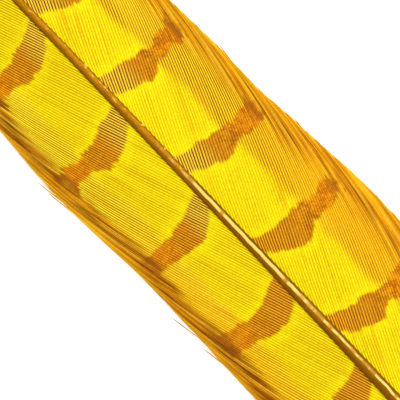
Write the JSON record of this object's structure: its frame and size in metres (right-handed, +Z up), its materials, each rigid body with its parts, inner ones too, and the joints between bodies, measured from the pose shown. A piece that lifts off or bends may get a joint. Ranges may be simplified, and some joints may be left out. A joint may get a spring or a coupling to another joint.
{
  "type": "pheasant tail feather",
  "caption": "Long barred pheasant tail feather dyed yellow, lying flat: a stiff tapering shaft, a closed vane along each side and loose down beside the bare quill.",
  "frame": {"origin": "below the middle of the feather, on the surface it lies on", "axes": "+X along the shaft from the quill to the tip, +Z up out of the feather's outer face, +Y towards the narrower left vane"},
  "size_m": [0.46, 0.052, 0.0055],
  "materials": {
    "shaft": "dyed horn-like keratin, golden brown with a pale stripe, satin to glossy",
    "vane": "dyed yellow barbs with brown bars and an orange fringe, matte with a faint silky sheen",
    "down": "dyed pale yellow down, matte and fluffy"
  },
  "bodies": {
    "root": {"shaft": "shaft", "right_vane": "vane", "left_vane": "vane", "right_down": "down", "left_down": "down"}
  },
  "joints": []
}
